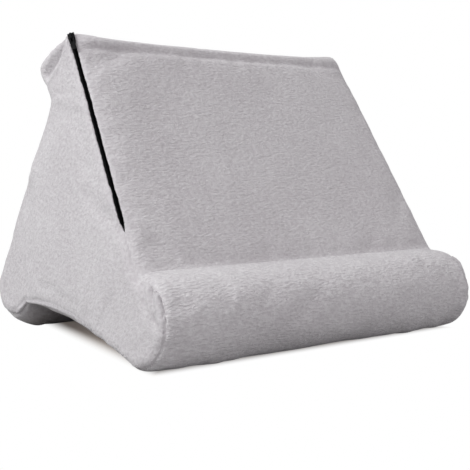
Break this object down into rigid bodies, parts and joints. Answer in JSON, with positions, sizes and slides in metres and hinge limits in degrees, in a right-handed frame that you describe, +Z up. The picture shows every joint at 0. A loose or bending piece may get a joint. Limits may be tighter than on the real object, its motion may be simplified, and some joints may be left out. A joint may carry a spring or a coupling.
{
  "type": "tablet cushion stand",
  "caption": "Padded wedge stand in a zip-off plush cover, with a thick roll along its lower front edge that stops a tablet or book leaning on its sloping face.",
  "frame": {"origin": "on the floor, under the middle of the stand", "axes": "+X along the roll to the stand's right, +Y from the roll to the rear foot, +Z up"},
  "size_m": [0.3008, 0.2419, 0.2239],
  "materials": {
    "plush": "pale warm grey short-pile plush",
    "foam": "open-cell upholstery foam",
    "stuffing": "loose polyester fibre",
    "zip_tape": "black woven tape",
    "zip_coil": "black nylon coil",
    "zip_metal": "black paint, worn at the edges"
  },
  "bodies": {
    "cushion": {"foam_core": "foam", "front_roll_fill": "stuffing", "foot_ledge_fill": "stuffing", "top_ledge_fill": "stuffing", "front_panel": "plush", "front_roll_cover": "plush", "underside_panel": "plush", "foot_ledge_cover": "plush", "back_panel": "plush", "top_ledge_cover": "plush", "left_side_panel": "plush", "right_side_panel": "plush", "zip_tape_front": "zip_tape", "zip_tape_side": "zip_tape", "zip_coil_front": "zip_coil", "zip_coil_side": "zip_coil", "zip_top_stop_front": "zip_metal", "zip_top_stop_side": "zip_metal", "zip_bottom_stop": "zip_metal"},
    "slider": {"zip_slider": "zip_metal"},
    "pull_tab": {"zip_pull_tab": "zip_metal"}
  },
  "joints": [
    {"name": "zip_run", "type": "slide", "parent": "cushion", "child": "slider", "axis": [-0.0635, -0.5435, -0.837], "range_m": [0, 0.1455]},
    {"name": "tab_swing", "type": "hinge", "parent": "slider", "child": "pull_tab", "pos_m": [-0.13299, 0.02238, 0.21878], "axis": [-0.7201, 0.6056, -0.3387], "range_deg": [0, 165]}
  ]
}
